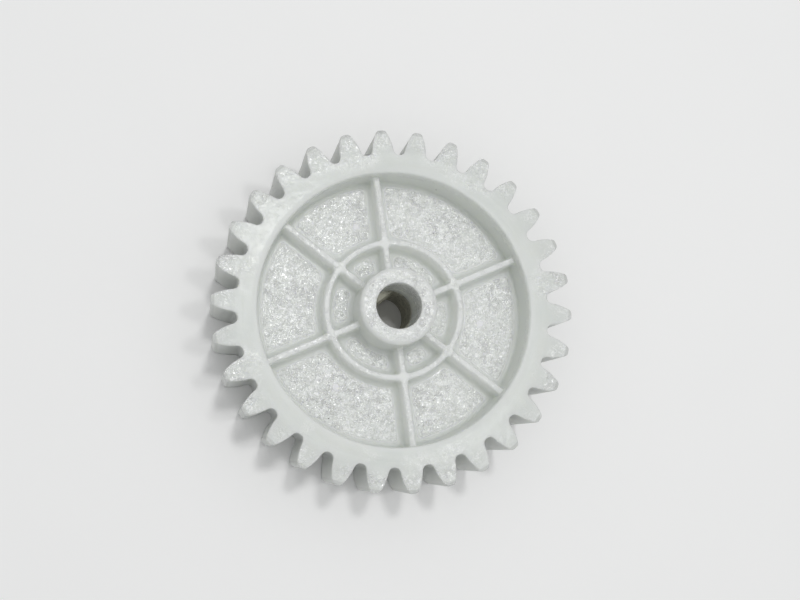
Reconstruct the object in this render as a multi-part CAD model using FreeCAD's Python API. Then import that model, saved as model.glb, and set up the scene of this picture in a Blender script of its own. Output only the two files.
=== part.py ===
import FreeCAD, Part
import math
import os
from FreeCAD import Vector as V

os.makedirs("parts", exist_ok=True)

# Straight-toothed spur gear moulded in natural plastic, with a steel D-bore
# insert moulded into the back half of its hub.
#
# Frame: millimetres. The origin is on the gear axis in the plane of the back
# face, +Z runs along the axis towards the front, where the hub stands proud of
# the rim, and +X passes through the centre of a tooth.

# ---------------------------------------------------------------- toothing
MODULE = 2.5
TEETH = 30
PRESSURE_DEG = 20.0
DEDENDUM_K = 1.25            # dedendum in modules
CUTTER_TIP_K = 0.38          # generating rack's tip radius in modules
TIP_CORNER = 0.60            # rounding of each tooth's tip corners, in the outline
TIP_BREAK = 0.80             # axial break at the tips, front and back

R_PITCH = MODULE * TEETH / 2.0               # 37.5
R_TIP = R_PITCH + MODULE                     # 40.0
R_ROOT = R_PITCH - DEDENDUM_K * MODULE       # 34.375

# ------------------------------------------------------------- body heights
FACE_WIDTH = 19.0            # rim and toothing
HUB_PROUD = 2.3              # hub above the rim's front face
WEB_T = 3.8                  # web, in the middle of the face width
RIB_BELOW = 3.0              # rib and ring tops below the rim faces

Z_MID = FACE_WIDTH / 2.0
Z_FLOOR = Z_MID + WEB_T / 2.0                # front pocket floors, 11.4
Z_RIB = FACE_WIDTH - RIB_BELOW               # front rib tops, 16.0
Z_HUB = FACE_WIDTH + HUB_PROUD               # hub's front face, 21.3

# --------------------------------------------------------------------- rim
R_RIM = 30.2                 # rim's inner edge at the faces
RIM_EDGE = 0.35              # rounding of that edge
FLOOR_FILLET = 1.2           # at the foot of the rim wall and of the hub
DRAFT_DEG = 1.0              # mould draft on round walls

# --------------------------------------------------------------------- hub
R_HUB = 8.45                 # at the front face
HUB_EDGE = 0.40
R_BORE = 5.0                 # plastic bore, front half
BORE_EDGE = 0.20
Z_STEP = 10.5                # front end of the steel insert

# ----------------------------------------------- ring rib and diametral ribs
R_RING_IN, R_RING_OUT = 14.36, 15.70         # at its top
RIB_T = 1.40                 # rib thickness at the top
RIB_ROUND = 0.50             # rounding along rib and ring tops
RIB_FILLET = 1.0             # at the foot of ribs and ring
RIB_DRAFT_DEG = 1.5
RIB_AZ = (12.6, 86.8, 132.5)                 # three full-diameter ribs

# ------------------------------------------------------ ejector-pin witness
PIN_R, PIN_D, PIN_DEEP = 20.9, 1.5, 0.10
PIN_AZ = (101.3, 222.9, 343.1)

# ------------------------------------------------------------ steel insert
R_INSERT = 6.5               # outer radius, moulded over
R_SHAFT = 4.8                # round part of the D-bore, for a 9.5 mm shaft
D_FLAT = 3.0                 # axis to flat
D_AZ = 117.3                 # outward normal of the flat
D_CHAMFER = 0.5              # lead-in at the front of the D-bore
GROOVE_DEEP = 0.45           # two retention grooves round the insert
GROOVES = ((2.6, 4.1), (6.3, 7.8))
KEY_FLAT = 5.9               # axis to the two anti-turn flats on its outside
KEY_Z = (4.1, 6.3)           # the band that carries the flats


def polar(r, a):
    return V(r * math.cos(a), r * math.sin(a), 0)


def inv(a):
    return math.tan(a) - a


# ------------------------------------------------------------ tooth outline
ALPHA = math.radians(PRESSURE_DEG)
R_BASE = R_PITCH * math.cos(ALPHA)
RHO = CUTTER_TIP_K * MODULE
YC = DEDENDUM_K * MODULE - RHO
XC = math.pi * MODULE / 4 - YC * math.tan(ALPHA) - RHO / math.cos(ALPHA)


def half_angle(r):
    """Half of a tooth's angular thickness at radius r, on the involute."""
    return math.pi / (2 * TEETH) + inv(ALPHA) - inv(math.acos(R_BASE / r))


def trochoid(s):
    """Root fillet cut by the rack's tip, as (radius, angle from the space's centre).
    s runs from 0 at the root circle to 1 at the involute."""
    lateral = s * YC / math.tan(ALPHA)
    turn = (lateral - XC) / R_PITCH
    n = math.hypot(lateral, YC)
    x = lateral + RHO * lateral / n
    y = R_PITCH - YC - RHO * YC / n
    # the rack has moved on by R_PITCH * turn, and so has the blank
    a = math.atan2(x, y) - turn
    return math.hypot(x, y), a


SPACE = math.pi / TEETH      # half a pitch, in radians
tro = [trochoid(i / 10.0) for i in range(11)]
r_join = tro[-1][0]


def on_involute(r):
    return half_angle(r)


# tip corner: a curve tangent to the flank and to the tip circle
r_a = R_TIP - TIP_CORNER
a_tip = half_angle(R_TIP)
a_b = a_tip - TIP_CORNER / R_TIP


def outline():
    edges = []
    for k in range(TEETH):
        c = 2 * math.pi * k / TEETH

        def P(r, a, side):
            return polar(r, c + side * a)

        inv_r = [r_join + (r_a - r_join) * i / 8.0 for i in range(9)]
        for side in (-1, 1):
            troch = [P(r, SPACE - a, side) for r, a in tro]
            flank = [P(r, on_involute(r), side) for r in inv_r]
            flank[0] = troch[-1]
            b1 = Part.BSplineCurve()
            b1.interpolate(troch if side < 0 else troch[::-1])
            b2 = Part.BSplineCurve()
            b2.interpolate(flank if side < 0 else flank[::-1])
            e = r_a - 0.05
            t = (P(r_a, on_involute(r_a), side) - P(e, on_involute(e), side)).normalize()
            start = P(r_a, on_involute(r_a), side)
            end = P(R_TIP, a_b, side)
            # corner where the flank's tangent meets the tip circle's tangent
            n = end * (1.0 / R_TIP)
            d = (R_TIP - start.dot(n)) / t.dot(n)
            corner = start + t * d
            bz = Part.BezierCurve()
            bz.setPoles([start, corner, end] if side < 0 else [end, corner, start])
            if side < 0:
                edges += [b1.toShape(), b2.toShape(), bz.toShape()]
                arc = Part.Arc(P(R_TIP, a_b, -1), polar(R_TIP, c), P(R_TIP, a_b, 1))
                edges.append(arc.toShape())
            else:
                edges += [bz.toShape(), b2.toShape(), b1.toShape()]
        a0 = SPACE - tro[0][1]
        arc = Part.Arc(P(tro[0][0], a0, 1), polar(tro[0][0], c + SPACE),
                       polar(tro[0][0], c + 2 * SPACE - a0))
        edges.append(arc.toShape())
    return Part.Wire(Part.__sortEdges__(edges))


def revolve(points):
    """Solid of revolution about Z. points are (r, z), or (r, z, 'arc', r, z) for an
    arc through the first pair to the second."""
    edges = []
    start = last = points[0]
    for p in points[1:] + [start]:
        if len(p) == 5:
            a, b, c = V(last[0], 0, last[1]), V(p[0], 0, p[1]), V(p[3], 0, p[4])
            edges.append(Part.Arc(a, b, c).toShape())
            last = (p[3], p[4])
        else:
            a, b = V(last[0], 0, last[1]), V(p[0], 0, p[1])
            if (a - b).Length > 1e-6:
                edges.append(Part.LineSegment(a, b).toShape())
            last = p
    face = Part.Face(Part.Wire(edges))
    return face.revolve(V(0, 0, 0), V(0, 0, 1), 360)


def fillet(px, pz, ax, az, bx, bz, rad):
    """Arc of radius rad in the corner at (px, pz) between the directions a and b.
    Gives the tangent point on a, the middle of the arc and the tangent point on b."""
    la, lb = math.hypot(ax, az), math.hypot(bx, bz)
    ax, az, bx, bz = ax / la, az / la, bx / lb, bz / lb
    cosv = ax * bx + az * bz
    half = math.acos(cosv) / 2
    run = rad / math.tan(half)
    mx, mz = ax + bx, az + bz
    lm = math.hypot(mx, mz)
    far = rad / math.sin(half)
    cx, cz = px + mx / lm * far, pz + mz / lm * far
    mid = (cx - mx / lm * rad, cz - mz / lm * rad)
    return (px + ax * run, pz + az * run), mid, (px + bx * run, pz + bz * run)


def rounded(corners):
    """Closed (r, z) polygon with a rounding at each corner that names one."""
    out = []
    n = len(corners)
    for i, c in enumerate(corners):
        if len(c) == 2 or c[2] <= 0:
            out.append((c[0], c[1]))
            continue
        p, q = corners[i - 1], corners[(i + 1) % n]
        s, m, e = fillet(c[0], c[1], p[0] - c[0], p[1] - c[1],
                         q[0] - c[0], q[1] - c[1], c[2])
        out.append(s)
        out.append((m[0], m[1], "arc", e[0], e[1]))
    return out


DT = math.tan(math.radians(DRAFT_DEG))
RT = math.tan(math.radians(RIB_DRAFT_DEG))
Z_RING = Z_RIB - 0.05        # the ring's crest sits a hair under the ribs'
R_OUT = R_TIP + 2.0

front = [
    (R_BORE, Z_HUB - BORE_EDGE),
    (R_BORE + BORE_EDGE, Z_HUB),
    (R_HUB, Z_HUB, HUB_EDGE),
    (R_HUB + (Z_HUB - Z_FLOOR) * DT, Z_FLOOR, FLOOR_FILLET),
    (R_RING_IN - (Z_RING - Z_FLOOR) * RT, Z_FLOOR, RIB_FILLET),
    (R_RING_IN, Z_RING, RIB_ROUND),
    (R_RING_OUT, Z_RING, RIB_ROUND),
    (R_RING_OUT + (Z_RING - Z_FLOOR) * RT, Z_FLOOR, RIB_FILLET),
    (R_RIM - (FACE_WIDTH - Z_FLOOR) * DT, Z_FLOOR, FLOOR_FILLET),
    (R_RIM, FACE_WIDTH, RIM_EDGE),
    (R_TIP - TIP_BREAK, FACE_WIDTH),
    (R_OUT, FACE_WIDTH - TIP_BREAK * 0.6 / TIP_BREAK * (R_OUT - R_TIP + TIP_BREAK)),
]
mirror = FACE_WIDTH
back = [
    (R_OUT, mirror - front[-1][1]),
    (R_TIP - TIP_BREAK, 0.0),
    (R_RIM, 0.0, RIM_EDGE),
    (R_RIM - (FACE_WIDTH - Z_FLOOR) * DT, mirror - Z_FLOOR, FLOOR_FILLET),
    (R_RING_OUT + (Z_RING - Z_FLOOR) * RT, mirror - Z_FLOOR, RIB_FILLET),
    (R_RING_OUT, mirror - Z_RING, RIB_ROUND),
    (R_RING_IN, mirror - Z_RING, RIB_ROUND),
    (R_RING_IN - (Z_RING - Z_FLOOR) * RT, mirror - Z_FLOOR, RIB_FILLET),
    (R_HUB + (mirror - Z_FLOOR) * DT, mirror - Z_FLOOR, FLOOR_FILLET),
    (R_HUB, 0.0, HUB_EDGE),
    (R_INSERT, 0.0),
    (R_INSERT, Z_STEP),
    (R_BORE, Z_STEP),
]
blank = revolve(rounded(front + back))


# ---------------------------------------------------------- diametral ribs
def rib_section(up):
    """Section of one rib across its run, as a wire in the YZ plane. The foot flares
    into the floor and crosses it at a slope, so no sliver is left."""
    w = RIB_T / 2.0
    h = Z_RIB - Z_FLOOR
    base = w + h * RT
    s, m, e = fillet(base, Z_FLOOR, -h * RT, h, 1.0, 0.0, RIB_FILLET)
    # stop the flare while it still slopes at 15 degrees
    cy, cz = e[0], Z_FLOOR + RIB_FILLET
    a15 = math.radians(-90 - 15)
    stop = (cy + RIB_FILLET * math.cos(a15), cz + RIB_FILLET * math.sin(a15))
    a0 = math.atan2(s[1] - cz, s[0] - cy)
    am = (a0 + (a15 + 2 * math.pi if a0 > 0 else a15)) / 2
    mid = (cy + RIB_FILLET * math.cos(am), cz + RIB_FILLET * math.sin(am))
    deep = (stop[0] + 0.4 * math.cos(math.radians(15)), stop[1] - 0.4 * math.sin(math.radians(15)))
    t1, tm, t2 = fillet(w, Z_RIB, -1.0, 0.0, h * RT, -h, RIB_ROUND)
    pts_r = [t1, ("arc", tm, t2), s, ("arc", mid, stop), deep]

    def put(y, z):
        return V(0, y, z if up else mirror - z)

    edges = []
    for sg in (1, -1):
        last = pts_r[0]
        for p in pts_r[1:]:
            if p[0] == "arc":
                a, b, c = put(sg * last[0], last[1]), put(sg * p[1][0], p[1][1]), put(sg * p[2][0], p[2][1])
                edges.append(Part.Arc(a, b, c).toShape())
                last = p[2]
            else:
                a, b = put(sg * last[0], last[1]), put(sg * p[0], p[1])
                edges.append(Part.LineSegment(a, b).toShape())
                last = p
    edges.append(Part.LineSegment(put(-t1[0], t1[1]), put(t1[0], t1[1])).toShape())
    zl = Z_FLOOR - 1.2
    edges.append(Part.LineSegment(put(deep[0], deep[1]), put(deep[0], zl)).toShape())
    edges.append(Part.LineSegment(put(-deep[0], deep[1]), put(-deep[0], zl)).toShape())
    edges.append(Part.LineSegment(put(-deep[0], zl), put(deep[0], zl)).toShape())
    return Part.Wire(Part.__sortEdges__(edges))


R_FROM, R_TO = R_HUB - 1.0, R_RIM + 1.2
bars = []
for up in (True, False):
    section = Part.Face(rib_section(up))
    for az in RIB_AZ:
        for half in (0.0, 180.0):
            bar = section.copy()
            bar.translate(V(R_FROM, 0, 0))
            bar = bar.extrude(V(R_TO - R_FROM, 0, 0))
            bar.rotate(V(0, 0, 0), V(0, 0, 1), az + half)
            bars.append(bar)
body = blank.multiFuse(bars)

# ------------------------------------------------------- ejector-pin marks
marks = []
for a in PIN_AZ:
    p = polar(PIN_R, math.radians(a))
    p.z = Z_FLOOR - PIN_DEEP
    marks.append(Part.makeCylinder(PIN_D / 2, 2.0, p))
body = body.cut(Part.makeCompound(marks))

# ------------------------------------------------------------------- teeth
prism = Part.Face(outline()).extrude(V(0, 0, FACE_WIDTH))
hub_room = Part.makeCylinder(R_ROOT - 2.0, Z_HUB + 2.0, V(0, 0, -1.0))
gear = body.common(prism.fuse(hub_room))

# ------------------------------------------------------------ steel insert
core = [(0.0, 0.0), (R_INSERT, 0.0, 0.0)]
for z0, z1 in GROOVES:
    core += [(R_INSERT, z0), (R_INSERT - GROOVE_DEEP, z0 + GROOVE_DEEP),
             (R_INSERT - GROOVE_DEEP, z1 - GROOVE_DEEP), (R_INSERT, z1)]
core += [(R_INSERT, Z_STEP), (0.0, Z_STEP)]
plug = revolve(core)
flats = []
for sg in (1, -1):
    b = Part.makeBox(4.0, 4 * R_INSERT, KEY_Z[1] - KEY_Z[0],
                     V(KEY_FLAT if sg > 0 else -KEY_FLAT - 4.0, -2 * R_INSERT, KEY_Z[0]))
    b.rotate(V(0, 0, 0), V(0, 0, 1), D_AZ)
    flats.append(b)
plug = plug.cut(Part.makeCompound(flats))

# the plastic closes round the insert's grooves and flats
envelope = Part.makeCylinder(R_INSERT, Z_STEP)
collar = envelope.cut(plug)
gear = gear.fuse(collar).removeSplitter()


def d_profile(r, flat, z):
    h = math.sqrt(r * r - flat * flat)
    pts = [V(flat, -h, z), V(flat, h, z), V(-r, 0, z)]
    wire = Part.Wire([Part.LineSegment(pts[0], pts[1]).toShape(),
                      Part.Arc(pts[1], pts[2], pts[0]).toShape()])
    wire.rotate(V(0, 0, 0), V(0, 0, 1), D_AZ)
    return wire


d_hole = Part.Face(d_profile(R_SHAFT, D_FLAT, -1.0)).extrude(V(0, 0, Z_STEP + 2.0))
# lead-in along the flat only: the round part opens straight into the plastic bore
lead = Part.makePolygon([V(D_FLAT - 0.5, 0, Z_STEP - D_CHAMFER - 0.5),
                         V(D_FLAT + D_CHAMFER + 0.5, 0, Z_STEP + 0.5),
                         V(D_FLAT - 0.5, 0, Z_STEP + 0.5),
                         V(D_FLAT - 0.5, 0, Z_STEP - D_CHAMFER - 0.5)])
lead = Part.Face(lead).extrude(V(0, 12.0, 0))
lead.translate(V(0, -6.0, 0))
lead.rotate(V(0, 0, 0), V(0, 0, 1), D_AZ)
lead = lead.common(Part.makeCylinder(R_SHAFT, Z_STEP + 2.0))
insert = plug.cut(d_hole).cut(lead)


def one_solid(shape, name):
    shape = shape.removeSplitter()
    if len(shape.Solids) != 1:
        raise RuntimeError("%s came out as %d solids" % (name, len(shape.Solids)))
    s = shape.Solids[0]
    print(name, "valid", s.isValid(), "volume %.1f" % s.Volume, "faces", len(s.Faces),
          "box", [round(v, 3) for v in (s.BoundBox.XMin, s.BoundBox.YMin, s.BoundBox.ZMin,
                                        s.BoundBox.XMax, s.BoundBox.YMax, s.BoundBox.ZMax)])
    return s


one_solid(gear, "gear_moulding").exportStep("parts/gear_moulding.step")
one_solid(insert, "d_bore_insert").exportStep("parts/d_bore_insert.step")
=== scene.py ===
import math

import bmesh
import bpy
import numpy as np
from mathutils import Matrix, Vector


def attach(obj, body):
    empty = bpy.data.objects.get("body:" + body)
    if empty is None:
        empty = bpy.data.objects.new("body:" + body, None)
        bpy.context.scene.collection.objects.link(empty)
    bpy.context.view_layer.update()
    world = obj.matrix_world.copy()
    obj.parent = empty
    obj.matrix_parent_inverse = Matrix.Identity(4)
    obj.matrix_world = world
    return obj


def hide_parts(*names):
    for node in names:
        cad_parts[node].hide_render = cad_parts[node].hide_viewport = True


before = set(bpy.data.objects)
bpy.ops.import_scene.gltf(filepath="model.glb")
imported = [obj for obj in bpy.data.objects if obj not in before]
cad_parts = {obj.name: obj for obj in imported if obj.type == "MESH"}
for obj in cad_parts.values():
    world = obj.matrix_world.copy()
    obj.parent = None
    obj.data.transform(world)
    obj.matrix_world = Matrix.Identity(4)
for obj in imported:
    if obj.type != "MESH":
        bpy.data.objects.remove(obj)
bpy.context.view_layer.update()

MM = 0.001

# ---------------------------------------------------------------------------
# Sizes, in millimetres, the same as the CAD model's. h is the distance from
# the middle plane of the toothing, towards the front or towards the back.
# ---------------------------------------------------------------------------
MODULE, TEETH = 2.5, 30
ALPHA = math.radians(20.0)
R_PITCH = MODULE * TEETH / 2
R_TIP, R_ROOT = R_PITCH + MODULE, R_PITCH - 1.25 * MODULE
R_BASE = R_PITCH * math.cos(ALPHA)
RHO = 0.38 * MODULE
YC = 1.25 * MODULE - RHO
XC = math.pi * MODULE / 4 - YC * math.tan(ALPHA) - RHO / math.cos(ALPHA)
TIP_CORNER = 0.60
Z_MID = 9.5
H_FACE = 9.5
H_RIB = 6.5
H_FLOOR = 1.9
H_HUB_FRONT = 11.8
R_RIM = 30.2
R_HUB = 8.45
R_BORE = 5.0
R_INSERT = 6.5
H_STEP = 1.0                      # front end of the insert, above the middle plane
R_RING_IN, R_RING_OUT = 14.36, 15.70
RIB_W = 0.70                      # half the rib thickness, at the top
RIBS = [math.radians(a) for a in (12.6, 86.8, 132.5, 192.6, 266.8, 312.5)]
DT = math.tan(math.radians(1.0))
RT = math.tan(math.radians(1.5))
TOP_R = 0.32                      # rounding along rib and ring tops
PINS = [(20.9, math.radians(a)) for a in (101.3, 222.9, 343.1)]
R_SHAFT, D_FLAT, D_AZ = 4.8, 3.0, math.radians(117.3)


# ---------------------------------------------------------------------------
# small tools
# ---------------------------------------------------------------------------
class Build:
    """Vertices in millimetres, and faces that share them."""

    def __init__(self):
        self.v, self.f, self.n = [], [], 0
        self.mask = {}

    def add(self, pts):
        pts = np.asarray(pts, float)
        shape = pts.shape[:-1]
        flat = pts.reshape(-1, 3)
        self.v.append(flat)
        ids = np.arange(self.n, self.n + len(flat)).reshape(shape)
        self.n += len(flat)
        return ids

    def grid(self, a, flip=False, closed=False):
        """Quads over a 2-D array of ids. closed joins the last column to the first."""
        if closed:
            a = np.concatenate([a, a[:, :1]], 1)
        q = np.stack([a[:-1, :-1], a[:-1, 1:], a[1:, 1:], a[1:, :-1]], -1).reshape(-1, 4)
        if flip:
            q = q[:, ::-1]
        self.f.extend(q.tolist())

    def zipper(self, a, ta, b, tb, flip=False):
        """Triangles between two closed rings of ids with rising angles ta and tb."""
        na, nb = len(a), len(b)
        ta, tb = np.unwrap(np.append(ta, ta[0] + 2 * np.pi)), np.unwrap(np.append(tb, tb[0] + 2 * np.pi))
        # start b at its point nearest in angle to a's first
        k = int(np.argmin(np.abs((tb[:-1] - ta[0] + np.pi) % (2 * np.pi) - np.pi)))
        b = np.concatenate([b[k:], b[:k]])
        tb = np.concatenate([tb[k:-1], tb[:k] + 2 * np.pi])
        tb = tb + (round((ta[0] - tb[0]) / (2 * np.pi)) * 2 * np.pi)
        tb = np.append(tb, tb[0] + 2 * np.pi)
        i = j = 0
        while i < na or j < nb:
            if j >= nb or (i < na and ta[i + 1] <= tb[j + 1]):
                t = (a[i % na], a[(i + 1) % na], b[j % nb])
                i += 1
            else:
                t = (a[i % na], b[(j + 1) % nb], b[j % nb])
                j += 1
            self.f.append([int(x) for x in (t[::-1] if flip else t)])

    def mark(self, ids, name, value):
        self.mask.setdefault(name, []).append((np.asarray(ids).ravel(), value))

    def mesh(self, name):
        v = np.concatenate(self.v) * MM
        me = bpy.data.meshes.new(name)
        me.from_pydata(v.tolist(), [], [list(map(int, x)) for x in self.f])
        for key, parts in self.mask.items():
            val = np.zeros(len(v), np.float32)
            for ids, x in parts:
                val[ids] = np.asarray(x, np.float32).ravel() if np.ndim(x) else x
            me.attributes.new(key, "FLOAT", "POINT").data.foreach_set("value", val)
        bm = bmesh.new()
        bm.from_mesh(me)
        bmesh.ops.delete(bm, geom=[x for x in bm.verts if not x.link_faces], context="VERTS")
        bmesh.ops.recalc_face_normals(bm, faces=bm.faces)
        for f in bm.faces:
            f.smooth = True
        bm.to_mesh(me)
        bm.free()
        me.update()
        ob = bpy.data.objects.new(name, me)
        bpy.context.collection.objects.link(ob)
        return ob


def smooth(x):
    x = np.clip(x, 0, 1)
    return x * x * (3 - 2 * x)


def hash01(i, j, seed):
    """Repeatable noise in 0..1 at whole-number points."""
    n = (i * 374761393 + j * 668265263 + seed * 974634777) & 0xFFFFFFFF
    n = ((n ^ (n >> 13)) * 1274126177) & 0xFFFFFFFF
    return ((n ^ (n >> 16)) & 0xFFFFFFFF) / 4294967295.0


def noise2(x, y, seed):
    """Smooth repeatable noise in -1..1."""
    xi, yi = np.floor(x).astype(np.int64), np.floor(y).astype(np.int64)
    fx, fy = smooth(x - xi), smooth(y - yi)
    a, b = hash01(xi, yi, seed), hash01(xi + 1, yi, seed)
    c, d = hash01(xi, yi + 1, seed), hash01(xi + 1, yi + 1, seed)
    return 2 * ((a * (1 - fx) + b * fx) * (1 - fy) + (c * (1 - fx) + d * fx) * fy) - 1


# ---------------------------------------------------------------------------
# tooth outline, one closed curve with its outward normals
# ---------------------------------------------------------------------------
def inv(a):
    return math.tan(a) - a


def half_angle(r):
    return math.pi / (2 * TEETH) + inv(ALPHA) - inv(math.acos(R_BASE / r))


def trochoid(s):
    lateral = s * YC / math.tan(ALPHA)
    turn = (lateral - XC) / R_PITCH
    n = math.hypot(lateral, YC)
    x = lateral + RHO * lateral / n
    y = R_PITCH - YC - RHO * YC / n
    return math.hypot(x, y), math.atan2(x, y) - turn


def half_tooth():
    """Points (r, angle) from the space's centre line to the tooth's, one flank."""
    space = math.pi / TEETH
    pts = [(trochoid(0)[0], space)]
    tro = [trochoid(s) for s in (0.0, 0.14, 0.3, 0.5, 0.74, 1.0)]
    pts += [(r, space - a) for r, a in tro]
    r0, r1 = tro[-1][0], R_TIP - TIP_CORNER
    for r in np.linspace(r0, r1, 6)[1:]:
        pts.append((r, half_angle(r)))
    a = np.array([r1 * math.cos(half_angle(r1)), r1 * math.sin(half_angle(r1))])
    e = r1 - 0.05
    b = np.array([e * math.cos(half_angle(e)), e * math.sin(half_angle(e))])
    t = (a - b) / np.linalg.norm(a - b)
    ab = half_angle(R_TIP) - TIP_CORNER / R_TIP
    end = R_TIP * np.array([math.cos(ab), math.sin(ab)])
    n = end / R_TIP
    c = a + t * (R_TIP - a @ n) / (t @ n)
    for u in np.linspace(0, 1, 5)[1:]:
        p = (1 - u) ** 2 * a + 2 * u * (1 - u) * c + u * u * end
        pts.append((math.hypot(*p), math.atan2(p[1], p[0])))
    pts.append((R_TIP, 0.0))
    return pts


def toothed():
    half = half_tooth()
    out = []
    for k in range(TEETH):
        c = 2 * math.pi * k / TEETH
        out += [(r, c - a) for r, a in half[1:-1]]
        out += [(R_TIP, c)]
        out += [(r, c + a) for r, a in half[-2:0:-1]]
    # the two root points at each space's centre are left out: the root arc is short
    p = np.array([[r * math.cos(a), r * math.sin(a)] for r, a in out])
    d = np.roll(p, -1, 0) - np.roll(p, 1, 0)
    n = np.stack([d[:, 1], -d[:, 0]], 1)
    n /= np.linalg.norm(n, axis=1)[:, None]
    return p, n


# ---------------------------------------------------------------------------
# pocket outlines
# ---------------------------------------------------------------------------
N_R_OUT, N_R_IN = 26, 12            # along a rib, outer and inner pockets
N_C = 8                             # round a corner
N_X = 2                             # across the flat crest of a rib or of the ring
SECTOR = []
for j in range(6):
    w = (RIBS[(j + 1) % 6] - RIBS[j]) % (2 * math.pi)
    SECTOR.append(int(round(math.degrees(w) / 2.0)))


def rib_point(rib, along, across):
    a = RIBS[rib % 6]
    return np.array([along * math.cos(a) - across * math.sin(a),
                     along * math.sin(a) + across * math.cos(a)])


def arc_about(c, p, q, n):
    """n + 1 points from p to q round c, the short way."""
    a0 = math.atan2(p[1] - c[1], p[0] - c[0])
    a1 = math.atan2(q[1] - c[1], q[0] - c[0])
    d = (a1 - a0 + math.pi) % (2 * math.pi) - math.pi
    r = (np.hypot(*(p - c)) + np.hypot(*(q - c))) / 2
    t = a0 + d * np.linspace(0, 1, n + 1)
    return np.stack([c[0] + r * np.cos(t), c[1] + r * np.sin(t)], 1)


def contour(j, ro, ri, w, c_out, c_in, n_r):
    """Closed outline of the pocket between ribs j and j+1, between radii ri and ro and
    w clear of the ribs' centre lines. c_out and c_in round its corners: (at rib j, at
    rib j+1). It runs out along rib j, round the outside, in along rib j+1 and back
    round the inside. Each part has a fixed number of points."""
    n_a = SECTOR[j]
    pts = []
    corners = {}
    for side, rib, sg in ((0, j, 1), (1, j + 1, -1)):
        co, ci = c_out[side], c_in[side]
        lo = math.sqrt((ro - co) ** 2 - (w + co) ** 2)
        li = math.sqrt((ri + ci) ** 2 - (w + ci) ** 2)
        cen_o, cen_i = rib_point(rib, lo, sg * (w + co)), rib_point(rib, li, sg * (w + ci))
        corners[side] = dict(
            co=cen_o, ci=cen_i,
            rib_o=rib_point(rib, lo, sg * w), rib_i=rib_point(rib, li, sg * w),
            arc_o=cen_o / np.hypot(*cen_o) * ro, arc_i=cen_i / np.hypot(*cen_i) * ri)
    a, b = corners[0], corners[1]
    line = lambda p, q, n: p + (q - p) * np.linspace(0, 1, n + 1)[:, None]
    o = np.zeros(2)
    parts = [
        line(a["rib_i"], a["rib_o"], n_r),
        arc_about(a["co"], a["rib_o"], a["arc_o"], N_C),
        arc_about(o, a["arc_o"], b["arc_o"], n_a),
        arc_about(b["co"], b["arc_o"], b["rib_o"], N_C),
        line(b["rib_o"], b["rib_i"], n_r),
        arc_about(b["ci"], b["rib_i"], b["arc_i"], N_C),
        arc_about(o, b["arc_i"], a["arc_i"], n_a),
        arc_about(a["ci"], a["arc_i"], a["rib_i"], N_C),
    ]
    return np.concatenate([p[:-1] for p in parts])


def marks(j, n_r):
    """Index of the first point of each of the outline's eight parts, and its length."""
    n_a = SECTOR[j]
    lens = [n_r, N_C, n_a, N_C, n_r, N_C, n_a, N_C]
    s = np.concatenate([[0], np.cumsum(lens)])
    return s[:-1], int(s[-1])


def span(ids, start, count):
    """count + 1 ids from start, going round a closed outline."""
    return np.array([ids[(start + k) % len(ids)] for k in range(count + 1)])


def wall_r(h):
    return R_RIM - (H_FACE - h) * DT


def hub_r(h, h_top):
    return R_HUB + (h_top - h) * DT


def foot(t, rad):
    """How far a foot fillet of radius rad reaches at height t above the floor."""
    return 0.0 if t >= rad else rad - math.sqrt(max(rad * rad - (rad - t) ** 2, 0.0))


def heights():
    """Levels from the crest (rounding done) down to the floor."""
    out = []
    for k in range(4):
        a = math.radians(90 - 30 * k)
        out.append((H_RIB - TOP_R + TOP_R * math.sin(a), TOP_R * (1 - math.cos(a))))
    out += [(4.4, 0.0)]
    for a in (0, 32, 62, 90):
        out.append((H_FLOOR + 1.0 * (1 - math.sin(math.radians(a))), 0.0))
    return out


def floor_wave(x, y, side, seed):
    """Slow unevenness of a pocket floor, in mm."""
    s = seed + 7 * side
    return 0.018 * noise2(x / 2.7, y / 2.7, s) + 0.012 * noise2(x / 1.1, y / 1.1, s + 1)


FLOOR_STEP = 0.07                 # the textured fields stand this much above their border


def coons(a, b, c, d):
    """Grid between four sides. a and c run along t, d and b along s:
    a at s=0, c at s=1, d at t=0, b at t=1. Result [t, s]."""
    nt, ns = len(a), len(d)
    t = np.linspace(0, 1, nt)[:, None, None]
    s = np.linspace(0, 1, ns)[None, :, None]
    e = (1 - s) * a[:, None] + s * c[:, None] + (1 - t) * d[None] + t * b[None]
    m = (1 - t) * ((1 - s) * d[0] + s * d[-1]) + t * ((1 - s) * b[0] + s * b[-1])
    return e - m


# inner corner radii of the textured fields, at the first and the second rib
FIELD_IN = [(2.4, 2.6), (1.4, 3.4), (3.4, 2.2), (2.0, 1.0), (1.0, 1.8), (2.6, 2.4)]


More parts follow.
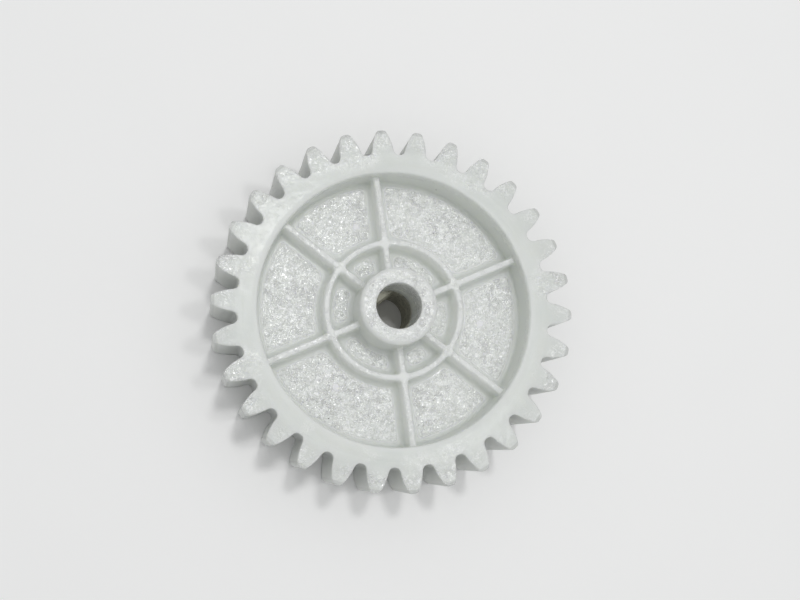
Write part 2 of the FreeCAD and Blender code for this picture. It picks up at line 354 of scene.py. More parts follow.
def side_of_gear(B, sign, h_hub):
    """Everything of one side between the rim's inner edge and the hub's outer edge.
    Returns the closed id rings at the rim's edge and at the hub's edge."""
    front = sign > 0
    flip = not front

    def z(h):
        return Z_MID + sign * h

    def put(xy, h):
        xy = np.asarray(xy, float)
        hh = np.broadcast_to(h, xy.shape[:-1])
        return B.add(np.concatenate([xy, z(hh)[..., None]], -1))

    tops = {"out": [], "in": []}
    for kind in ("out", "in"):
        n_r = N_R_OUT if kind == "out" else N_R_IN
        for j in range(6):
            rows = []
            last = None
            for h, up in heights():
                t = h - H_FLOOR
                drop = max(H_RIB - TOP_R - h, 0.0)
                w = RIB_W - up + drop * RT + foot(t, 1.0)
                if kind == "out":
                    ro = wall_r(h) - foot(t, 0.7)
                    ri = R_RING_OUT - up + drop * RT + foot(t, 1.0)
                    grow = 0.35 * smooth((1.2 - t) / 1.2) if t < 1.2 else 0.0
                    c_out = [0.55 + 0.3 * up + grow] * 2
                    c_in = [0.9 + up * 0.8 + 1.2 * grow] * 2
                else:
                    ro = R_RING_IN + up - drop * RT - foot(t, 1.0)
                    ri = hub_r(h, h_hub) + foot(t, 0.9)
                    grow = 0.35 * smooth((1.2 - t) / 1.2) if t < 1.2 else 0.0
                    c_out = [0.7 + up * 0.8 + grow] * 2
                    c_in = [0.5 + 0.3 * up + grow] * 2
                last = (w, ro, ri, c_out, c_in)
                rows.append(put(contour(j, ro, ri, w, c_out, c_in, n_r), h))
            w, ro, ri, c_out, c_in = last
            # the textured field, with its own border and corners
            if kind == "out":
                in_r = FIELD_IN[j] if front else (2.2, 2.2)
                out_r = (0.9, 0.9)
                fw, fo, fi = w + 0.32, ro - 0.30, ri + 0.22
            else:
                in_r = (1.1, 1.3)
                out_r = (1.4, 1.2)
                fw, fo, fi = w + 0.25, ro - 0.10, ri + 0.15
            mid = 0.5
            rows.append(put(contour(j, ro - (ro - fo) * mid, ri + (fi - ri) * mid, w + (fw - w) * mid,
                                    [(p + q) / 2 for p, q in zip(c_out, out_r)],
                                    [(p + q) / 2 for p, q in zip(c_in, in_r)], n_r), H_FLOOR))
            for more, lift, bead, fld in ((0.0, 0.0, 0.0, 0.0), (0.09, 1.25, 0.8, 0.0),
                                          (0.17, 1.35, 1.0, 0.2), (0.27, 1.0, 0.2, 0.6)):
                c = contour(j, fo - more, fi + more, fw + more, out_r, in_r, n_r)
                rows.append(put(c, H_FLOOR + FLOOR_STEP * lift))
                B.mark(rows[-1], "field", fld)
                B.mark(rows[-1], "bead", bead)
            B.grid(np.array(rows), flip=flip, closed=True)
            tops[kind].append(rows[0])
            # fill the field
            ring = rows[-1]
            xy = contour(j, fo - 0.27, fi + 0.27, fw + 0.27, out_r, in_r, n_r)
            m, total = marks(j, n_r)
            half = N_C // 2
            s_a = (m[7] + half) % total                     # middle of the corner inside, rib j
            n_t, n_s = half + n_r + half, half + SECTOR[j] + half
            ia = span(ring, s_a, n_t)                       # out along rib j
            ib = span(ring, m[1] + half, n_s)               # round the outside
            ic = span(ring, m[3] + half, n_t)[::-1]         # rib j+1, from inside out
            idd = span(ring, m[5] + half, n_s)[::-1]        # round the inside, from rib j on
            pos = {int(i): xy[k] for k, i in enumerate(ring)}
            get = lambda q: np.array([pos[int(i)] for i in q])
            g = coons(get(ia), get(ib), get(ic), get(idd))
            inner = g[1:-1, 1:-1]
            edge = np.minimum.outer(np.minimum(np.arange(1, n_t), np.arange(n_t - 1, 0, -1)),
                                    np.minimum(np.arange(1, n_s), np.arange(n_s - 1, 0, -1)))
            fade = smooth(edge / 2.5)
            hh = H_FLOOR + FLOOR_STEP + fade * floor_wave(inner[..., 0], inner[..., 1], sign, 11)
            ids = np.zeros((n_t + 1, n_s + 1), int)
            ids[1:-1, 1:-1] = put(inner, hh)
            B.mark(ids[1:-1, 1:-1], "field", 1.0)
            ids[:, 0], ids[:, -1], ids[0, :], ids[-1, :] = ia, ic, idd, ib
            pin = None
            if kind == "out" and front:
                for pr, pa in PINS:
                    if 0 < (pa - RIBS[j]) % (2 * math.pi) < (RIBS[(j + 1) % 6] - RIBS[j]) % (2 * math.pi):
                        pin = np.array([pr * math.cos(pa), pr * math.sin(pa)])
            if pin is None:
                B.grid(ids, flip=not flip)
            else:
                punch(B, ids, g, pin, put, flip=not flip)
    # crests: six outer strips, six inner strips, six ring strips and six crossings
    half = N_C // 2
    end_rim, end_hub = [], []
    for j in range(6):
        p, q = (j - 1) % 6, j                    # pockets before and after rib j
        grids = {}
        for kind in ("out", "in"):
            n_r = N_R_OUT if kind == "out" else N_R_IN
            mp, tp = marks(p, n_r)
            mq, tq = marks(q, n_r)
            P, Q = tops[kind][p], tops[kind][q]
            if kind == "out":
                # from the rim inwards to the middle of the inside corner
                left = span(P, mp[3], N_C + n_r + half)
                right = span(Q, (mq[7] + half) % tq, half + n_r + N_C)[::-1]
            else:
                # from the hub outwards to the middle of the outside corner
                left = span(P, (mp[3] + half) % tp, half + n_r + N_C)[::-1]
                right = span(Q, mq[7], N_C + n_r + half)
            grids[kind] = cross(B, left, right, kind, z, put)
            B.grid(grids[kind], flip=(not flip) if kind == "out" else flip)
        end_rim.append(grids["out"][0])
        end_hub.append(grids["in"][0])
        top, bot = grids["out"][-1], grids["in"][-1]
        # ring strips' end rows at this crossing
        left = cross_row(B, top[0], bot[0], put)
        right = cross_row(B, top[-1], bot[-1], put)
        n = N_X
        c = np.zeros((n + 1, n + 1), int)
        c[0], c[-1], c[:, 0], c[:, -1] = top, bot, left, right
        pts = np.concatenate(B.v)
        for a in range(1, n):
            for b in range(1, n):
                xy = (pts[top[b]] + pts[bot[b]] + pts[left[a]] + pts[right[a]])[:2] / 4
                c[a, b] = put(xy[None], H_RIB)[0]
        B.grid(c, flip=not flip)
        tops.setdefault("rows", {})[j] = (left, right)
    for j in range(6):
        mo, to = marks(j, N_R_OUT)
        mi, ti = marks(j, N_R_IN)
        outer = span(tops["out"][j], mo[5] + half, half + SECTOR[j] + half)[::-1]
        inner = span(tops["in"][j], mi[1] + half, half + SECTOR[j] + half)
        g = np.zeros((N_X + 1, len(outer)), int)
        g[0], g[-1] = outer, inner
        pts = np.concatenate(B.v)
        for a in range(1, N_X):
            t = a / N_X
            xy = pts[outer, :2] * (1 - t) + pts[inner, :2] * t
            g[a, 1:-1] = put(xy[1:-1], H_RIB)
        g[:, 0] = tops["rows"][j][1]
        g[:, -1] = tops["rows"][(j + 1) % 6][0]
        B.grid(g, flip=not flip)
    # closed rings on the rim's wall and on the hub's wall, at the crest's height
    rim, hub = [], []
    for j in range(6):
        mo, to = marks(j, N_R_OUT)
        mi, ti = marks(j, N_R_IN)
        rim += list(span(tops["out"][j], mo[2], SECTOR[j])) + list(end_rim[(j + 1) % 6][1:-1])
        hub += list(span(tops["in"][j], mi[6], SECTOR[j])[::-1]) + list(end_hub[(j + 1) % 6][1:-1])
    return np.array(rim), np.array(hub)


def cross(B, left, right, kind, z, put):
    """Grid of ids between two long sides, N_X cells across. The first row lies on the
    rim's or the hub's wall."""
    pts = np.concatenate(B.v)
    g = np.zeros((len(left), N_X + 1), int)
    g[:, 0], g[:, -1] = left, right
    for a in range(1, N_X):
        t = a / N_X
        xy = pts[left, :2] * (1 - t) + pts[right, :2] * t
        r = np.hypot(*pts[left[0], :2])
        xy[0] *= r / np.hypot(*xy[0])
        g[:, a] = put(xy, H_RIB)
    return g


def cross_row(B, p, q, put):
    pts = np.concatenate(B.v)
    row = [p]
    for a in range(1, N_X):
        t = a / N_X
        row.append(int(put((pts[p, :2] * (1 - t) + pts[q, :2] * t)[None], H_RIB)[0]))
    return np.array(row + [q])


def punch(B, ids, g, pin, put, flip):
    """The grid with a round ejector-pin mark let into it."""
    d = np.hypot(g[..., 0] - pin[0], g[..., 1] - pin[1])
    near = d < 1.25
    drop = near[:-1, :-1] | near[1:, :-1] | near[:-1, 1:] | near[1:, 1:]
    q = np.stack([ids[:-1, :-1], ids[:-1, 1:], ids[1:, 1:], ids[1:, :-1]], -1)
    keep = q[~drop]
    B.f.extend((keep[:, ::-1] if flip else keep).tolist())
    # boundary of the hole: edges of dropped cells that no other dropped cell has
    count = {}
    for c in q[drop]:
        for a, b in zip(c, np.roll(c, -1)):
            key = (min(a, b), max(a, b))
            count[key] = count.get(key, 0) + 1
    rim = sorted({int(i) for k, n in count.items() if n == 1 for i in k})
    pts = np.concatenate(B.v)
    ang = np.arctan2(pts[rim, 1] - pin[1], pts[rim, 0] - pin[0])
    order = np.argsort(ang)
    rim, ang = np.array(rim)[order], ang[order]
    n = 36
    t = np.linspace(-np.pi, np.pi, n, endpoint=False)
    rings = []
    for r, dh in ((0.86, 0.0), (0.80, -0.005), (0.76, -0.03), (0.745, -0.08), (0.70, -0.10), (0.4, -0.10)):
        xy = np.stack([pin[0] + r * np.cos(t), pin[1] + r * np.sin(t)], 1)
        rings.append(put(xy, H_FLOOR + FLOOR_STEP + dh))
        B.mark(rings[-1], "pin", 1.0 if r < 0.80 else 0.3)
    B.zipper(rim, ang, rings[0], t, flip=not flip)
    B.mark(rings[0], "field", 0.6)
    B.grid(np.array(rings), flip=not flip, closed=True)
    mid = put(pin[None], H_FLOOR + FLOOR_STEP - 0.10)[0]
    B.mark(mid, "pin", 1.0)
    last = rings[-1]
    for k in range(n):
        tri = [int(last[k]), int(last[(k + 1) % n]), int(mid)]
        B.f.append(tri if flip is False else tri)


# ---------------------------------------------------------------------------
# the moulding
# ---------------------------------------------------------------------------
def ring_at(B, xy_dir, r, zz):
    r = np.broadcast_to(r, len(xy_dir))
    zz = np.broadcast_to(zz, len(xy_dir))
    return B.add(np.concatenate([xy_dir * r[:, None], zz[:, None]], 1))


SEAT = [(2.6, 0), (3.05, 1), (3.65, 1), (4.1, 0), (4.15, 2), (6.25, 2), (6.3, 0),
        (6.75, 1), (7.35, 1), (7.8, 0)]


def seat_r(az, kind):
    """Radius of the insert's outside: plain, in a groove, or with its two flats."""
    if kind == 0:
        return np.full(len(az), R_INSERT)
    if kind == 1:
        return np.full(len(az), R_INSERT - 0.45)
    return np.minimum(R_INSERT, 5.9 / np.maximum(np.abs(np.cos(az - D_AZ)), 1e-6))


def make_insert():
    B = Build()
    gap = 0.008
    half = math.acos(D_FLAT / R_SHAFT)
    key = math.acos(5.9 / R_INSERT)
    # angles from the flat's normal, with a point at each of its corners
    marks_at = [-half, -key, key, half, math.pi - key, math.pi + key, 2 * math.pi - half]
    t = []
    for a, b in zip(marks_at[:-1], marks_at[1:]):
        n = max(4, int(round((b - a) / math.radians(2.6))))
        t += list(np.linspace(a, b, n, endpoint=False))
    t = np.array(t)
    az = t + D_AZ
    d = np.stack([np.cos(az), np.sin(az)], 1)
    on_flat = np.abs((t + math.pi) % (2 * math.pi) - math.pi) <= half + 1e-9

    def bore(flat, r):
        with np.errstate(divide="ignore"):
            x = flat / np.maximum(np.cos(t), 1e-6)
        return np.where(on_flat, np.minimum(x, r), r)

    rows = []
    eb = 0.12
    # front face, from the lead-in outwards
    top = Z_MID + H_STEP - 0.004
    rows.append(ring_at(B, d, bore(D_FLAT, R_SHAFT), 0.15))
    rows.append(ring_at(B, d, bore(D_FLAT, R_SHAFT), 5.0))
    rows.append(ring_at(B, d, bore(D_FLAT, R_SHAFT), top - 0.60))
    rows.append(ring_at(B, d, bore(D_FLAT + 0.03, R_SHAFT + 0.005), top - 0.50))
    rows.append(ring_at(B, d, bore(D_FLAT + 0.10, R_SHAFT + 0.01), top - 0.42))
    rows.append(ring_at(B, d, bore(D_FLAT + 0.42, R_SHAFT + 0.02), top - 0.08))
    rows.append(ring_at(B, d, bore(D_FLAT + 0.50, R_SHAFT + 0.04), top - 0.02))
    rows.append(ring_at(B, d, bore(D_FLAT + 0.60, R_SHAFT + 0.09), top))
    for k in (0.4, 0.8):
        inner = bore(D_FLAT + 0.60, R_SHAFT + 0.09)
        rows.append(ring_at(B, d, inner + (R_INSERT - eb - inner) * k, top))
    rows.append(ring_at(B, d, R_INSERT - gap - eb, top))
    rows.append(ring_at(B, d, R_INSERT - gap, top - eb))
    for zz, kind in SEAT[::-1]:
        rows.append(ring_at(B, d, seat_r(az, kind) - gap, zz))
    rows.append(ring_at(B, d, R_INSERT - gap, 0.14))
    rows.append(ring_at(B, d, R_INSERT - gap - 0.04, 0.05))
    rows.append(ring_at(B, d, R_INSERT - gap - 0.14, 0.0))
    outer, inner = R_INSERT - gap - 0.14, bore(D_FLAT + 0.12, R_SHAFT + 0.12)
    for k in (0.4, 0.8, 1.0):
        rows.append(ring_at(B, d, outer + (inner - outer) * k, 0.0))
    rows.append(ring_at(B, d, bore(D_FLAT + 0.04, R_SHAFT + 0.04), 0.06))
    rows.append(rows[0])
    B.grid(np.array(rows), closed=True)
    return B.mesh("insert_body")


def make_moulding():
    B = Build()
    p, n = toothed()
    r = np.hypot(p[:, 0], p[:, 1])
    u = p / r[:, None]
    ang = np.arctan2(p[:, 1], p[:, 0])
    # edge rounding: small on flanks and roots, wide on the tips
    tip = smooth((r - 38.4) / (R_TIP - 38.4))
    flank = 0.15
    pull = flank * n + (0.14 * tip)[:, None] * u
    deep = 0.16 + 0.30 * tip
    ends = {}
    for sign in (1, -1):
        rows = []
        for k in range(5):
            a = math.radians(22.5 * k)
            xy = p - (1 - math.cos(a)) * pull
            h = H_FACE - deep * (1 - math.sin(a))
            rows.append(B.add(np.concatenate([xy, (Z_MID + sign * h)[:, None]], 1)))
        B.grid(np.array(rows), flip=sign < 0, closed=True)
        ends[sign] = rows
    # flanks
    rows = [ends[-1][0]]
    zb, zf = Z_MID - (H_FACE - deep), Z_MID + (H_FACE - deep)
    for t in (0.33, 0.67):
        rows.append(B.add(np.concatenate([p, (zb + (zf - zb) * t)[:, None]], 1)))
    rows.append(ends[1][0])
    B.grid(np.array(rows), closed=True)

    edges = {}
    for sign, h_hub in ((1, H_HUB_FRONT), (-1, H_FACE)):
        rim, hub = side_of_gear(B, sign, h_hub)
        flip = sign < 0
        pts = np.concatenate(B.v)
        # up the rim wall from the crest's level and over the edge
        q = pts[rim, :2]
        rd = q / np.hypot(q[:, 0], q[:, 1])[:, None]
        ta = np.unwrap(np.arctan2(rd[:, 1], rd[:, 0]))
        rows = [rim]
        for h in (7.5, 8.5):
            rows.append(ring_at(B, rd, wall_r(h), Z_MID + sign * h))
        er = 0.35
        for a in (0, 30, 60, 90):
            a = math.radians(a)
            rows.append(ring_at(B, rd, wall_r(H_FACE - er) + er * (1 - math.cos(a)),
                                Z_MID + sign * (H_FACE - er + er * math.sin(a))))
        rows.append(ring_at(B, rd, 31.7, Z_MID + sign * H_FACE))
        B.grid(np.array(rows), flip=not flip, closed=True)
        inner_ring = rows[-1]
        # rim face from the tooth outline inwards
        top = ends[sign][-1]
        xy = np.concatenate(B.v)[top, :2]
        rr = np.hypot(xy[:, 0], xy[:, 1])
        dd = xy / rr[:, None]
        rows = [top]
        for t in (0.18, 0.44, 0.73, 1.0):
            rad = rr + (32.9 - rr) * t
            rows.append(ring_at(B, dd, rad, Z_MID + sign * H_FACE))
        B.grid(np.array(rows), flip=flip, closed=True)
        tb = np.arctan2(dd[:, 1], dd[:, 0])
        B.zipper(rows[-1], np.unwrap(tb), inner_ring, ta, flip=not flip)
        # up the hub wall and over its edge
        q = pts[hub, :2]
        hd = q / np.hypot(q[:, 0], q[:, 1])[:, None]
        rows = [hub]
        eh = 0.60
        low = H_RIB
        for k in (1, 2, 3):
            h = low + (h_hub - eh - low) * k / 3.0
            rows.append(ring_at(B, hd, hub_r(h, h_hub), Z_MID + sign * h))
        for a in (25, 50, 70, 90):
            a = math.radians(a)
            rows.append(ring_at(B, hd, hub_r(h_hub - eh, h_hub) - eh * (1 - math.cos(a)),
                                Z_MID + sign * (h_hub - eh + eh * math.sin(a))))
        if sign > 0:
            for rad in (7.4, 6.8, 6.2, 5.7):
                rows.append(ring_at(B, hd, rad, Z_MID + h_hub))
            eb = 0.25
            for a in (90, 60, 30, 0):
                a = math.radians(a)
                rows.append(ring_at(B, hd, R_BORE + eb * (1 - math.cos(a)),
                                    Z_MID + h_hub - eb + eb * math.sin(a)))
            for h in (8.0, 4.0, H_STEP):
                rows.append(ring_at(B, hd, R_BORE, Z_MID + h))
            edges["bore"] = rows[-1]
        else:
            rows.append(ring_at(B, hd, 7.3, 0.0))
            rows.append(ring_at(B, hd, R_INSERT + 0.12, 0.0))
            rows.append(ring_at(B, hd, R_INSERT, 0.10))
            az = np.arctan2(hd[:, 1], hd[:, 0])
            for zz, kind in SEAT:
                rows.append(ring_at(B, hd, seat_r(az, kind), zz))
            rows.append(ring_at(B, hd, R_INSERT, Z_MID + H_STEP))
            edges["seat"] = rows[-1]
            edges["dir"] = hd
        B.grid(np.array(rows), flip=flip, closed=True)
    # step over the insert's front end: bore's lower end to the seat's upper end
    B.grid(np.array([edges["bore"], edges["seat"]]), flip=False, closed=True)
    return B.mesh("gear_body")


body = make_moulding()
insert = make_insert()
for ob, node, name in ((body, "gear_moulding", "natural_acetal"), (insert, "d_bore_insert", "insert_steel")):
    ob.data.set_sharp_from_angle(angle=math.radians(32))
    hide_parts(node)
    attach(ob, "root")


# ---------------------------------------------------------------------------
# materials
# ---------------------------------------------------------------------------
class Nodes:
    def __init__(self, name):
        self.m = bpy.data.materials.new(name)
        self.m.use_nodes = True
        self.t = self.m.node_tree
        self.t.nodes.clear()
        self.out = self.t.nodes.new("ShaderNodeOutputMaterial")
        self.p = self.t.nodes.new("ShaderNodeBsdfPrincipled")
        self.t.links.new(self.p.outputs[0], self.out.inputs[0])
        self.co = self.t.nodes.new("ShaderNodeTexCoord").outputs["Object"]
        sep = self.t.nodes.new("ShaderNodeSeparateXYZ")
        self.t.links.new(self.co, sep.inputs[0])
        self.x, self.y, self.z = sep.outputs

    def link(self, a, b):
        if isinstance(a, (int, float)):
            b.default_value = a
        elif isinstance(a, tuple):
            b.default_value = a
        else:
            self.t.links.new(a, b)

    def math(self, op, a, b=0.0, c=0.0, clamp=False):
        n = self.t.nodes.new("ShaderNodeMath")
        n.operation, n.use_clamp = op, clamp
        for v, s in zip((a, b, c), n.inputs):
            self.link(v, s)
        return n.outputs[0]

    def vec(self, x, y, z):
        n = self.t.nodes.new("ShaderNodeCombineXYZ")
        for v, s in zip((x, y, z), n.inputs):
            self.link(v, s)
        return n.outputs[0]

    def noise(self, scale, detail=2.0, rough=0.5, distort=0.0, co=None):
        n = self.t.nodes.new("ShaderNodeTexNoise")
        n.inputs["Scale"].default_value = scale
        n.inputs["Detail"].default_value = detail
        n.inputs["Roughness"].default_value = rough
        n.inputs["Distortion"].default_value = distort
        self.t.links.new(co if co is not None else self.co, n.inputs["Vector"])
        return n.outputs["Fac"]

    def ramp(self, v, lo, hi, a=0.0, b=1.0):
        """v from lo..hi to a..b, smooth and clamped."""
        n = self.t.nodes.new("ShaderNodeMapRange")
        n.interpolation_type = "SMOOTHSTEP"
        for x, s in zip((v, lo, hi, a, b), n.inputs):
            self.link(x, s)
        return n.outputs[0]

    def mix(self, f, a, b):
        n = self.t.nodes.new("ShaderNodeMix")
        n.data_type = "RGBA"
        self.link(f, n.inputs["Factor"])
        self.link(a, n.inputs["A"]) if not isinstance(a, tuple) else setattr(n.inputs[6], "default_value", a)
        if not isinstance(a, tuple):
            self.t.links.new(a, n.inputs[6])
        if isinstance(b, tuple):
            n.inputs[7].default_value = b
        else:
            self.t.links.new(b, n.inputs[7])
        return n.outputs[2]

    def bump(self, height, strength, distance, prev=None):
        n = self.t.nodes.new("ShaderNodeBump")
        n.inputs["Strength"].default_value = strength
        n.inputs["Distance"].default_value = distance
        self.t.links.new(height, n.inputs["Height"])
        if prev is not None:
            self.t.links.new(prev, n.inputs["Normal"])
        return n.outputs[0]

    def attribute(self, name):
        n = self.t.nodes.new("ShaderNodeAttribute")
        n.attribute_name = name
        return n.outputs["Fac"]


def acetal():
    m = Nodes("natural_acetal_moulded")
    r = m.math("POWER", m.math("ADD", m.math("MULTIPLY", m.x, m.x), m.math("MULTIPLY", m.y, m.y)), 0.5)
    ang = m.math("ARCTAN2", m.y, m.x)
    pin = m.attribute("pin")
    field = m.math("MULTIPLY", m.attribute("field"), m.ramp(pin, 0.35, 0.9, 1.0, 0.15))
    # where the mould left a mottled skin: pocket fields, tooth ends, hub face
    ends = m.ramp(m.math("ABSOLUTE", m.math("SUBTRACT", m.z, 0.0095)), 0.0090, 0.00940)
    tips = m.math("MULTIPLY", m.ramp(r, 0.0345, 0.0375), m.ramp(m.noise(85, 2), 0.38, 0.58, 0.20, 1.0))
    face = m.math("MULTIPLY", m.ramp(r, 0.0074, 0.0083, 1.0, 0.0), m.ramp(m.z, 0.0206, 0.0212))
    rim = m.math("MULTIPLY", m.ramp(r, 0.0302, 0.0325), m.ramp(m.noise(95, 2), 0.48, 0.64, 0.04, 0.40))
    crest = m.math("MULTIPLY", m.ramp(m.math("ABSOLUTE", m.math("SUBTRACT", m.z, 0.0095)), 0.00635, 0.00648),
                   m.math("MULTIPLY", m.ramp(r, 0.0300, 0.0304, 0.60, 0.0), m.ramp(r, 0.0086, 0.0092)))
    outer = m.math("MULTIPLY", m.math("MAXIMUM", m.math("MULTIPLY", tips, 0.85), rim), ends)
    crest = m.math("MULTIPLY", crest, m.ramp(m.noise(520, 1.0), 0.44, 0.58, 0.12, 1.0))
    wall = m.math("MULTIPLY", m.ramp(r, 0.00510, 0.00545, 0.9, 0.0), m.ramp(m.z, 0.0115, 0.0150))
    skin = m.math("MAXIMUM", m.math("MAXIMUM", field, outer),
                  m.math("MAXIMUM", m.math("MAXIMUM", m.math("MULTIPLY", face, 0.8), crest), wall))
    # beads round the fields: a real raised bead, also painted near white below as a painted highlight
    bead = m.ramp(m.attribute("bead"), 0.10, 0.55)
    bead = m.math("MULTIPLY", bead, m.ramp(m.noise(300, 1.0), 0.34, 0.46, 0.45, 1.0))
    # tooth flanks: painted shade, the base colour set greyer where the flanks lie in shade, to match their tone
    # in the photo
    flank = m.math("MULTIPLY", m.ramp(r, 0.0332, 0.0342),
                   m.ramp(m.math("ABSOLUTE", m.math("SUBTRACT", m.z, 0.0095)), 0.00895, 0.00935, 1.0, 0.0))
    # rib and ring sides and the smooth margins round the fields, lightened below in the base colour as painted
    # light against the shade in the pockets
    side = m.math("MULTIPLY", m.ramp(r, 0.0300, 0.0304, 1.0, 0.0), m.math("SUBTRACT", 1.0, skin, clamp=True))
    # heights: fine grain, and short crawling ridges
    grain = m.noise(1500, 2.0, 0.60, 1.0)
    crawl = m.noise(900, 1.0, 0.5, 1.6)
    ridge = m.math("SUBTRACT", 1.0, m.math("MULTIPLY", m.math("ABSOLUTE", m.math("SUBTRACT", crawl, 0.5)), 11.0), clamp=True)
    blotch = m.ramp(m.noise(170, 1.0), 0.34, 0.62, 0.80, 1.0)
    broken = m.ramp(m.noise(720, 1.0), 0.46, 0.56)
    patch = m.ramp(m.noise(130, 1.0), 0.40, 0.58, 0.35, 1.0)
    gloss = m.ramp(m.noise(120, 2.0, 0.5, 0.4), 0.40, 0.60, 0.45, 1.0)
    rough_h = m.math("MULTIPLY", m.math("MULTIPLY", grain, blotch), skin)
    ridge_m = m.math("MULTIPLY", m.math("MULTIPLY", m.math("MULTIPLY", ridge, broken), patch), skin)
    # flow lines follow the rim round
    flow = m.noise(1.0, 3.0, 0.6, 0.3, m.vec(m.math("MULTIPLY", r, 900.0), m.math("MULTIPLY", ang, 2.2),
                                              m.math("MULTIPLY", m.z, 60.0)))
    peel = m.noise(240, 2.0, 0.5)
    sink = m.noise(85, 1.5, 0.4)
    n = m.bump(sink, 1.0, 0.00010)
    n = m.bump(peel, 0.8, 0.00010, n)
    n = m.bump(flow, 0.6, 0.00007, n)
    n = m.bump(rough_h, 1.0, 0.00026, n)
    n = m.bump(ridge_m, 1.0, 0.00020, n)
    m.link(n, m.p.inputs["Normal"])
    # the gloss sits on a slightly coarser wrinkle than the grain
    wrinkle = m.math("MULTIPLY", m.noise(1050, 1.5, 0.5, 1.0), m.math("MULTIPLY", skin, gloss))
    g = m.bump(peel, 0.8, 0.00010)
    g = m.bump(wrinkle, 1.0, 0.00038, g)
    m.link(m.bump(ridge_m, 1.0, 0.00012, g), m.p.inputs["Coat Normal"])
    m.link(m.math("MULTIPLY_ADD", m.math("MAXIMUM", m.math("MULTIPLY", skin, gloss), bead), 0.80, 0.05), m.p.inputs["Coat Weight"])
    m.p.inputs["Coat Roughness"].default_value = 0.11
    m.p.inputs["Coat IOR"].default_value = 1.5
    # colour: cool, faintly green white, denser and clearer in places
    c = m.mix(m.ramp(m.noise(60, 3.0), 0.3, 0.7), (0.672, 0.700, 0.676, 1), (0.722, 0.740, 0.712, 1))
    c = m.mix(m.ramp(m.noise(1.0, 2.0, 0.5, 0.2, m.vec(m.math("MULTIPLY", r, 420.0), m.math("MULTIPLY", ang, 1.5), 0.0)), 0.35, 0.7),
              c, (0.734, 0.758, 0.735, 1))
    c = m.mix(m.math("MULTIPLY", skin, 0.7), c, (0.806, 0.824, 0.800, 1))
    # painted shade: the tooth end faces darker in the base colour towards the tips
    c = m.mix(m.math("MULTIPLY", m.math("MULTIPLY", ends, m.ramp(r, 0.0335, 0.0365)), 0.65), c, (0.630, 0.652, 0.630, 1))
    # mottled skin: bright flecks in the base colour, partly the skin's own mottle and partly painted glints
    c = m.mix(m.math("MULTIPLY", skin, m.ramp(grain, 0.54, 0.61, 0.0, 0.8)), c, (0.985, 0.992, 0.985, 1))
    c = m.mix(m.math("MULTIPLY", skin, m.ramp(grain, 0.39, 0.47, 0.42, 0.0)), c, (0.620, 0.640, 0.606, 1))
    # painted light: rib and ring sides and the margins lighter in the base colour, lifting the shade in the
    # pockets
    c = m.mix(m.math("MULTIPLY", side, 0.80), c, (0.806, 0.826, 0.796, 1))
    # painted shade: greyer base colour on the tooth flanks
    c = m.mix(m.math("MULTIPLY", flank, 0.95), c, (0.590, 0.606, 0.588, 1))
    # the tooth tips: painted shade, the base colour greyed along the tip edges in the same way
    c = m.mix(m.ramp(r, 0.03900, 0.03935, 0.0, 0.85), c, (0.520, 0.535, 0.518, 1))
    c = m.mix(m.math("MULTIPLY", pin, 0.95), c, (0.965, 0.972, 0.965, 1))
    # painted highlight: ridges and beads near white in the base colour, standing in for glints along them
    c = m.mix(m.math("MULTIPLY", m.math("MAXIMUM", ridge_m, bead), 0.97), c, (0.990, 0.992, 0.990, 1))
    for sx, sy, sz in SPECKS:
        dist = m.t.nodes.new("ShaderNodeVectorMath")
        dist.operation = "DISTANCE"
        m.link(m.co, dist.inputs[0])
        dist.inputs[1].default_value = (sx, sy, sz)
        c = m.mix(m.ramp(dist.outputs["Value"], 0.00010, 0.00022, 0.92, 0.0), c, (0.020, 0.022, 0.020, 1))
    m.link(c, m.p.inputs["Base Color"])
    # finish: satin, with greasy patches on the mottled skin
    ro = m.ramp(m.noise(45, 2.0), 0.3, 0.7, 0.40, 0.50)
    wet = m.math("MULTIPLY", m.math("MAXIMUM", skin, bead), m.ramp(m.noise(300, 1.0), 0.36, 0.60, 0.18, 0.28))
    ro = m.math("SUBTRACT", ro, wet, clamp=True)
    m.link(ro, m.p.inputs["Roughness"])
    m.p.inputs["IOR"].default_value = 1.53
    m.link(m.math("MULTIPLY_ADD", skin, -0.40, 1.0), m.p.inputs["Subsurface Weight"])
    m.p.inputs["Subsurface Radius"].default_value = (1.0, 1.0, 0.92)
    m.p.inputs["Subsurface Scale"].default_value = 0.0050
    return m.m


def steel():
    m = Nodes("turned_steel_dark")
    r = m.math("POWER", m.math("ADD", m.math("MULTIPLY", m.x, m.x), m.math("MULTIPLY", m.y, m.y)), 0.5)
    turn = m.noise(1.0, 3.0, 0.6, 0.0, m.vec(m.math("MULTIPLY", r, 7000.0), m.math("MULTIPLY", m.z, 9000.0), 0.0))
    stain = m.ramp(m.noise(420, 4.0, 0.6), 0.35, 0.68)
    c = m.mix(stain, (0.330, 0.324, 0.262, 1), (0.480, 0.472, 0.392, 1))
    c = m.mix(m.ramp(m.noise(1500, 2.0), 0.57, 0.68, 0.0, 0.75), c, (0.070, 0.060, 0.044, 1))
    m.link(c, m.p.inputs["Base Color"])
    m.p.inputs["Metallic"].default_value = 0.35
    m.link(m.ramp(m.noise(700, 3.0), 0.3, 0.7, 0.42, 0.62), m.p.inputs["Roughness"])
    n = m.bump(turn, 0.5, 0.00003)
    n = m.bump(m.noise(2600, 2.0), 0.3, 0.00003, n)
    m.link(n, m.p.inputs["Normal"])
    return m.m


def speck(r, az, z):
    a = math.radians(az)
    return (r * math.cos(a) * MM, r * math.sin(a) * MM, z * MM)


SPECKS = [speck(16.7, 164.6, 11.9), speck(29.1, -96.3, 12.0), speck(27.6, -131.2, 11.5),
          speck(25.9, -49.8, 11.5), speck(30.05, 59.0, 13.5)]

body.data.materials.append(acetal())
insert.data.materials.append(steel())


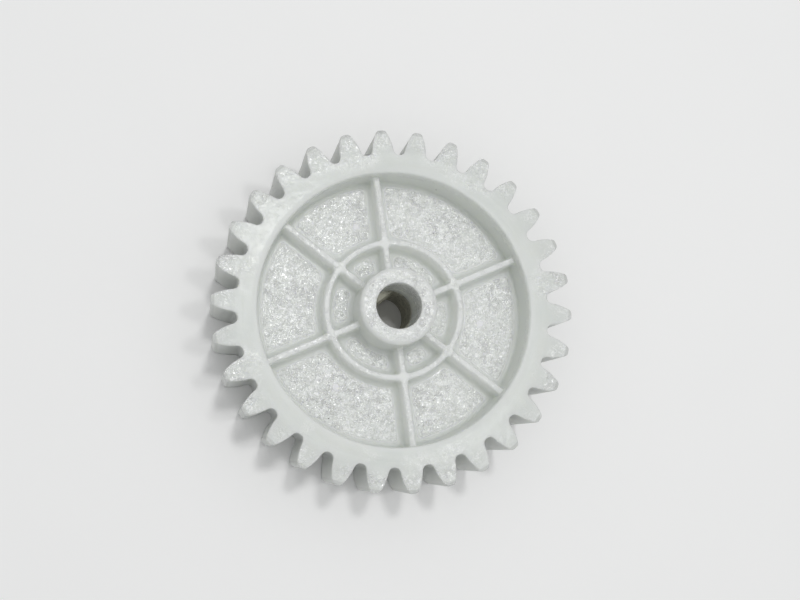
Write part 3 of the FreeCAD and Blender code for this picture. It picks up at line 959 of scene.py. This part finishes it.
# ---------------------------------------------------------------------------
# floor, light, camera
# ---------------------------------------------------------------------------
def floor():
    B = Build()
    g = np.linspace(-1.0, 1.0, 21) * 1000.0
    xx, yy = np.meshgrid(g, g)
    ids = B.add(np.stack([xx, yy, np.full(xx.shape, -0.15)], -1))
    B.grid(ids)
    ob = B.mesh("floor")
    if ob.data.polygons[0].normal.z < 0:
        ob.data.flip_normals()
    m = Nodes("floor_paper")
    c = m.mix(m.noise(40, 3.0), (0.962, 0.960, 0.955, 1), (0.975, 0.973, 0.968, 1))
    m.link(c, m.p.inputs["Base Color"])
    m.p.inputs["Roughness"].default_value = 0.9
    m.p.inputs["Specular IOR Level"].default_value = 0.1
    ob.data.materials.append(m.m)


floor()


def area(name, place, aim, size, power, colour=(1, 1, 1)):
    d = bpy.data.lights.new(name, "AREA")
    d.shape, d.size, d.energy, d.color = "DISK", size, power, colour
    ob = bpy.data.objects.new(name, d)
    bpy.context.collection.objects.link(ob)
    ob.location = place
    ob.rotation_euler = (Vector(aim) - Vector(place)).to_track_quat("-Z", "Y").to_euler()


area("lamp_a", (0.060, 0.165, 0.70), (0, 0, 0.01), 0.08, 0.94)
area("lamp_b", (0.200, -0.040, 0.70), (0, 0, 0.01), 0.08, 0.46)
world = bpy.data.worlds.new("world")
world.use_nodes = True
wt = world.node_tree
geo = wt.nodes.new("ShaderNodeTexCoord")
sep = wt.nodes.new("ShaderNodeSeparateXYZ")
wt.links.new(geo.outputs["Generated"], sep.inputs[0])
up = wt.nodes.new("ShaderNodeMapRange")
up.inputs["From Min"].default_value, up.inputs["From Max"].default_value = 0.0, 1.0
up.inputs["To Min"].default_value, up.inputs["To Max"].default_value = 0.14, 0.80
wt.links.new(sep.outputs["Z"], up.inputs["Value"])
sky = wt.nodes["Background"]
sky.inputs[0].default_value = (0.985, 0.995, 1.0, 1)
wt.links.new(up.outputs[0], sky.inputs[1])
bpy.context.scene.world = world
bpy.context.scene.view_settings.view_transform = "Standard"

cam = bpy.data.objects.new("camera", bpy.data.cameras.new("camera"))
bpy.context.collection.objects.link(cam)
RIGHT = Vector((0.96514951, -0.18852358, 0.18150835))
UP = Vector((0.16173786, 0.97496049, 0.15262011))
BACK = Vector((-0.20573596, -0.11794445, 0.97147405))
place = Vector((-0.04595315, -0.02299894, 0.21960899))
cam.matrix_world = Matrix((
    (RIGHT[0], UP[0], BACK[0], place[0]),
    (RIGHT[1], UP[1], BACK[1], place[1]),
    (RIGHT[2], UP[2], BACK[2], place[2]),
    (0, 0, 0, 1)))
cam.data.sensor_width = 36.0
cam.data.lens = 42.93
cam.data.shift_x = 0.0241
cam.data.shift_y = 0.0045
cam.data.clip_start = 0.005
cam.data.clip_end = 20.0
bpy.context.scene.camera = cam

bpy.context.view_layer.update()
